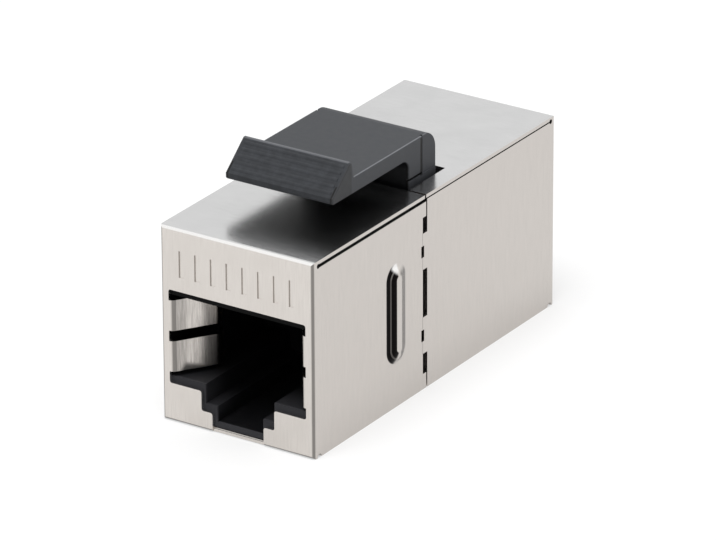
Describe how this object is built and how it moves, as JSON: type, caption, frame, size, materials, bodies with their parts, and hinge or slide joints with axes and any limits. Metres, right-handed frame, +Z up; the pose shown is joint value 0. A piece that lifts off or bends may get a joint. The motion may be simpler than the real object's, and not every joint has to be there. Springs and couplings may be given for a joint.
{
  "type": "rj45 inline coupler",
  "caption": "Shielded inline coupler with a modular jack at each end in a two-part folded steel shell and a sprung plastic snap-in latch on top.",
  "frame": {"origin": "middle of the underside", "axes": "+Z up; the front port faces -Y and the rear port faces +Y; +X to the right when looking into the front port"},
  "size_m": [0.0154, 0.0362, 0.022],
  "materials": {
    "shield": "satin nickel-plated sheet, fine vertical brushing, bright cut edges",
    "jack_plastic": "black moulded plastic",
    "carrier_plastic": "black moulded plastic",
    "latch_plastic": "dark grey-black moulded plastic, fine eroded texture",
    "contact_gold": "gold-plated spring wire",
    "board": "green circuit board"
  },
  "bodies": {
    "coupler": {"front_shield": "shield", "rear_shield": "shield", "front_jack_body": "jack_plastic", "rear_jack_body": "jack_plastic", "front_contact_carrier": "carrier_plastic", "rear_contact_carrier": "carrier_plastic", "front_contact_1": "contact_gold", "front_contact_2": "contact_gold", "front_contact_3": "contact_gold", "front_contact_4": "contact_gold", "front_contact_5": "contact_gold", "front_contact_6": "contact_gold", "front_contact_7": "contact_gold", "front_contact_8": "contact_gold", "rear_contact_1": "contact_gold", "rear_contact_2": "contact_gold", "rear_contact_3": "contact_gold", "rear_contact_4": "contact_gold", "rear_contact_5": "contact_gold", "rear_contact_6": "contact_gold", "rear_contact_7": "contact_gold", "rear_contact_8": "contact_gold", "circuit_board": "board", "latch_seat": "jack_plastic"},
    "latch": {"latch": "latch_plastic"}
  },
  "joints": [
    {"name": "latch_press", "type": "hinge", "parent": "coupler", "child": "latch", "pos_m": [0, 0.0012, 0.0146], "axis": [1, 0, 0], "range_deg": [0, 9], "stiffness_Nm_per_rad": 0.3}
  ]
}
